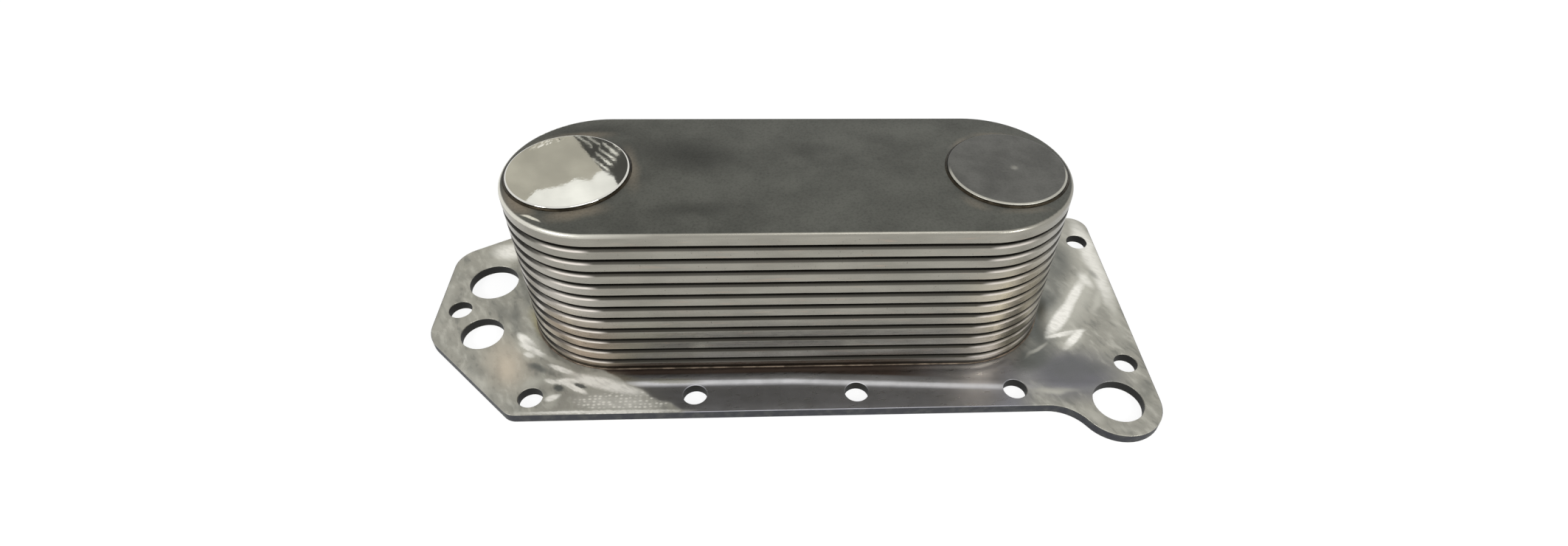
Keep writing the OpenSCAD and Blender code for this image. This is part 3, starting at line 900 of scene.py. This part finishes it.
class OBJECT_OT_cooler_studio(CoolerOperator, bpy.types.Operator):
    """White floor, soft lamps and the camera at the photograph's viewing angle"""

    bl_idname = "object.cooler_studio"
    bl_label = "Studio"

    def execute(self, context):
        studio = context.scene.cooler.studio
        self.floor(studio)
        self.world(context.scene, studio)
        self.lamps()
        self.cards()
        self.camera(context.scene, studio)
        context.scene.view_settings.view_transform = "Standard"
        return {"FINISHED"}

    def floor(self, studio):
        bm = bmesh.new()
        bmesh.ops.create_grid(bm, x_segments=1, y_segments=1, size=3.0)
        bmesh.ops.translate(bm, verts=bm.verts, vec=(0, 0, PLATE_LOW.z - 0.02 * MM))
        mesh = bpy.data.meshes.new("floor")
        bm.to_mesh(mesh)
        bm.free()
        paper = bpy.data.materials.new("white_paper")
        paper.use_nodes = True
        tree = paper.node_tree
        tree.nodes.clear()
        rough = tree.nodes.new("ShaderNodeBsdfDiffuse")
        rough.inputs["Color"].default_value = (0.8, 0.8, 0.8, 1)
        faint = tree.nodes.new("ShaderNodeBsdfDiffuse")
        faint.inputs["Color"].default_value = (0.3, 0.3, 0.3, 1)
        glow = tree.nodes.new("ShaderNodeEmission")
        glow.inputs["Strength"].default_value = studio.floor_glow
        total = tree.nodes.new("ShaderNodeAddShader")
        tree.links.new(faint.outputs[0], total.inputs[0])
        tree.links.new(glow.outputs[0], total.inputs[1])
        out = tree.nodes.new("ShaderNodeOutputMaterial")
        white_to_the_eye(tree, rough.outputs[0], total.outputs[0], out.inputs[0])
        mesh.materials.append(paper)
        floor = bpy.data.objects.new("floor", mesh)
        bpy.context.scene.collection.objects.link(floor)

    def world(self, scene, studio):
        world = bpy.data.worlds.new("soft_room")
        scene.world = world
        world.use_nodes = True
        tree = world.node_tree
        tree.nodes.clear()
        rough = tree.nodes.new("ShaderNodeBackground")
        rough.inputs["Strength"].default_value = studio.ambient
        white = tree.nodes.new("ShaderNodeBackground")
        white.inputs["Color"].default_value = (1, 1, 1, 1)
        out = tree.nodes.new("ShaderNodeOutputWorld")
        white_to_the_eye(tree, rough.outputs[0], white.outputs[0], out.inputs[0])

    def lamps(self):
        for name, place, width, watts in (
            ("window_lamp", (-0.77, -0.60, 0.70), 0.25, 2.4),
            ("side_lamp", (0.64, -0.59, 0.64), 0.25, 2.0),
            ("front_lamp", (0.2, -0.5, 1.1), 0.5, 1.4),
        ):
            data = bpy.data.lights.new(name, "AREA")
            data.shape = "SQUARE"
            data.size = width
            data.energy = watts
            lamp = bpy.data.objects.new(name, data)
            lamp.location = place
            lamp.rotation_euler = (Vector((0, 0, 0.03)) - Vector(place)).to_track_quat("-Z", "Y").to_euler()
            bpy.context.scene.collection.objects.link(lamp)

    def card(self, name, outline, y, light):
        """A flat card that faces the cooler and that only reflections show."""
        bm = bmesh.new()
        bmesh.ops.contextual_create(bm, geom=[bm.verts.new((x, y, z)) for x, z in outline])
        mesh = bpy.data.meshes.new(name)
        bm.to_mesh(mesh)
        bm.free()
        glow = bpy.data.materials.new(name)
        glow.use_nodes = True
        tree = glow.node_tree
        tree.nodes.clear()
        shine = tree.nodes.new("ShaderNodeEmission")
        cloud = tree.nodes.new("ShaderNodeTexNoise")
        cloud.inputs["Scale"].default_value = 22.0
        place = tree.nodes.new("ShaderNodeTexCoord")
        tree.links.new(place.outputs["Object"], cloud.inputs["Vector"])
        uneven = tree.nodes.new("ShaderNodeValToRGB")
        uneven.color_ramp.elements[0].position = 0.35
        uneven.color_ramp.elements[0].color = (*[c * 0.8 for c in light], 1)
        uneven.color_ramp.elements[1].position = 0.65
        uneven.color_ramp.elements[1].color = (*light, 1)
        tree.links.new(cloud.outputs["Fac"], uneven.inputs[0])
        tree.links.new(uneven.outputs[0], shine.inputs["Color"])
        out = tree.nodes.new("ShaderNodeOutputMaterial")
        tree.links.new(shine.outputs[0], out.inputs[0])
        mesh.materials.append(glow)
        made = bpy.data.objects.new(name, mesh)
        made.visible_camera = False
        made.visible_diffuse = False
        made.visible_shadow = False
        bpy.context.scene.collection.objects.link(made)

    def cards(self):
        """What the polished cap mirrors from behind the cooler: a room wall, a window and a dark frame with bars."""
        back = 0.6
        wall = [(-0.40, 0.38), (-0.12, 0.38), (-0.12, 0.62), (-0.40, 0.62)]
        self.card("wall_card", wall, back + 0.004, (0.66, 0.64, 0.56))
        window = [
            (-0.318, 0.552), (-0.300, 0.536), (-0.268, 0.530), (-0.250, 0.520), (-0.232, 0.522), (-0.222, 0.510),
            (-0.200, 0.500), (-0.180, 0.660), (-0.345, 0.660),
        ]
        self.card("window_card", window, back + 0.002, (1.32, 1.33, 1.3))
        dark = [
            (-0.249, 0.425), (-0.246, 0.440), (-0.240, 0.456), (-0.231, 0.476), (-0.222, 0.492), (-0.213, 0.506),
            (-0.203, 0.514), (-0.196, 0.540), (-0.140, 0.540), (-0.140, 0.425),
        ]
        self.card("dark_card", dark, back, (0.10, 0.10, 0.095))
        for number, (x, z) in enumerate(BARS, 1):
            bar = [(x - 0.010, z - 0.0115), (x + 0.008, z + 0.0060), (x + 0.008, z + 0.0095), (x - 0.010, z - 0.0075)]
            self.card("bar_%d" % number, bar, back - 0.002, (0.75, 0.75, 0.70))
            if number < 6:
                core = [(x - 0.002, z - 0.0035), (x + 0.006, z + 0.0045), (x + 0.006, z + 0.0070), (x - 0.002, z - 0.0010)]
                self.card("bar_core_%d" % number, core, back - 0.004, (1.7, 1.7, 1.6))

    def camera(self, scene, studio):
        data = bpy.data.cameras.new("photo_camera")
        data.lens = studio.lens
        data.sensor_width = 36
        data.sensor_fit = "HORIZONTAL"
        data.clip_start = 0.01
        data.shift_x, data.shift_y = studio.shift
        camera = bpy.data.objects.new("photo_camera", data)
        az, el, roll = studio.azimuth, studio.elevation, studio.roll
        ahead = Vector((math.sin(az) * math.cos(el), math.cos(az) * math.cos(el), -math.sin(el)))
        level = Vector((math.cos(az), -math.sin(az), 0))
        down = ahead.cross(level)
        right = level * math.cos(roll) + down * math.sin(roll)
        down = down * math.cos(roll) - level * math.sin(roll)
        camera.matrix_world = Matrix.Translation(studio.place) @ Matrix((right, -down, -ahead)).transposed().to_4x4()
        scene.collection.objects.link(camera)
        scene.camera = camera


class VIEW3D_PT_cooler(bpy.types.Panel):
    """Oil cooler"""

    bl_label = "Oil cooler"
    bl_space_type = "VIEW_3D"
    bl_region_type = "UI"
    bl_category = "Oil cooler"

    def draw(self, context):
        for each in OPERATORS:
            self.layout.operator(each.bl_idname)


GROUPS = (PlateSettings, ShellSettings, CapSettings, BrazeSettings, StudioSettings, CoolerSettings)
OPERATORS = (
    OBJECT_OT_cooler_plate,
    OBJECT_OT_cooler_shells,
    OBJECT_OT_cooler_inner,
    OBJECT_OT_cooler_caps,
    OBJECT_OT_cooler_braze,
    OBJECT_OT_cooler_studio,
)


def register():
    for each in (*GROUPS, *OPERATORS, VIEW3D_PT_cooler):
        bpy.utils.register_class(each)
    bpy.types.Scene.cooler = PointerProperty(type=CoolerSettings)


def unregister():
    del bpy.types.Scene.cooler
    for each in reversed((*GROUPS, *OPERATORS, VIEW3D_PT_cooler)):
        bpy.utils.unregister_class(each)


def main():
    register()
    for each in OPERATORS:
        group, name = each.bl_idname.split(".")
        getattr(getattr(bpy.ops, group), name)()


if __name__ == "__main__":
    main()
